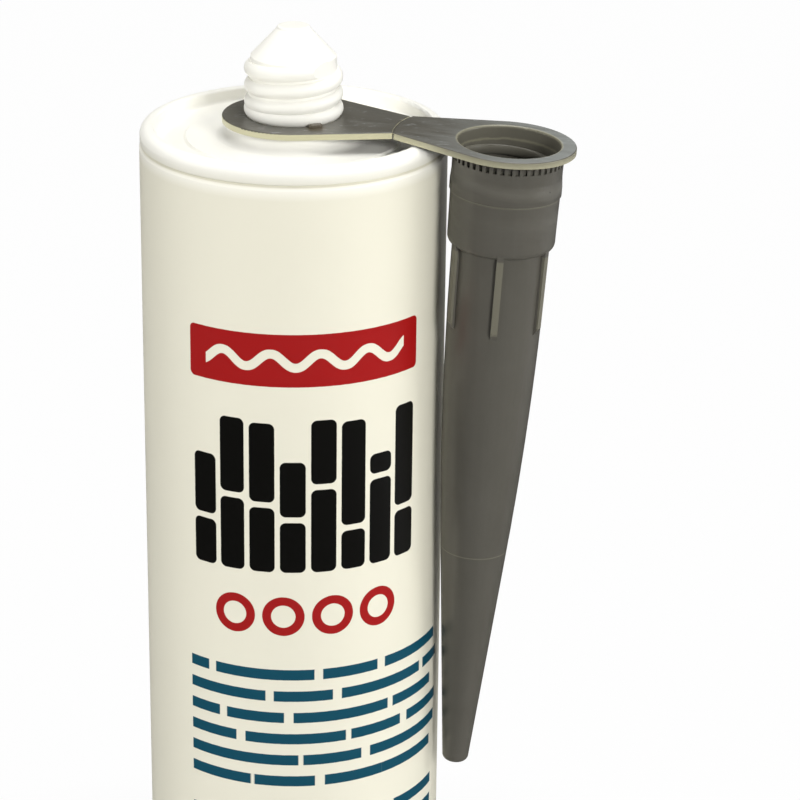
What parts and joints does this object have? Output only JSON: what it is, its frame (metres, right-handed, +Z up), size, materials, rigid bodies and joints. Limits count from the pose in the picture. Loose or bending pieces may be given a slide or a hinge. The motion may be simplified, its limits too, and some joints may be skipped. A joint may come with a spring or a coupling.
{
  "type": "caulk tube",
  "caption": "Upright sealant cartridge with an open base and sliding piston, a threaded neck, and a tapered nozzle that hangs beside the barrel on a ring tab round the neck.",
  "frame": {"origin": "centre of the open base ring, on the surface that the cartridge stands on", "axes": "+Z up along the barrel to the neck, +X towards the hanging nozzle"},
  "size_m": [0.0718, 0.05, 0.2311],
  "materials": {
    "barrel_plastic": "glossy moulded polyethylene, warm white, printed",
    "piston_plastic": "natural polyethylene, satin",
    "sealant_paste": "smooth paste",
    "nozzle_plastic": "dark warm grey moulded polyethylene, satin"
  },
  "bodies": {
    "barrel": {"cartridge": "barrel_plastic", "sealant": "sealant_paste"},
    "plunger": {"piston": "piston_plastic"},
    "hanger": {"hanger_ring": "nozzle_plastic"},
    "spout": {"nozzle": "nozzle_plastic"}
  },
  "joints": [
    {"name": "piston_slide", "type": "slide", "parent": "barrel", "child": "plunger", "axis": [0, 0, 1], "range_m": [0, 0.18], "deforming": ["sealant"]},
    {"name": "hanger_swivel", "type": "hinge", "parent": "barrel", "child": "hanger", "pos_m": [0, 0, 0.2164], "axis": [0, 0, 1], "continuous": true},
    {"name": "nozzle_fold", "type": "hinge", "parent": "hanger", "child": "spout", "pos_m": [0.0184, 0, 0.2164], "axis": [0, -1, 0], "range_deg": [0, 90]}
  ]
}
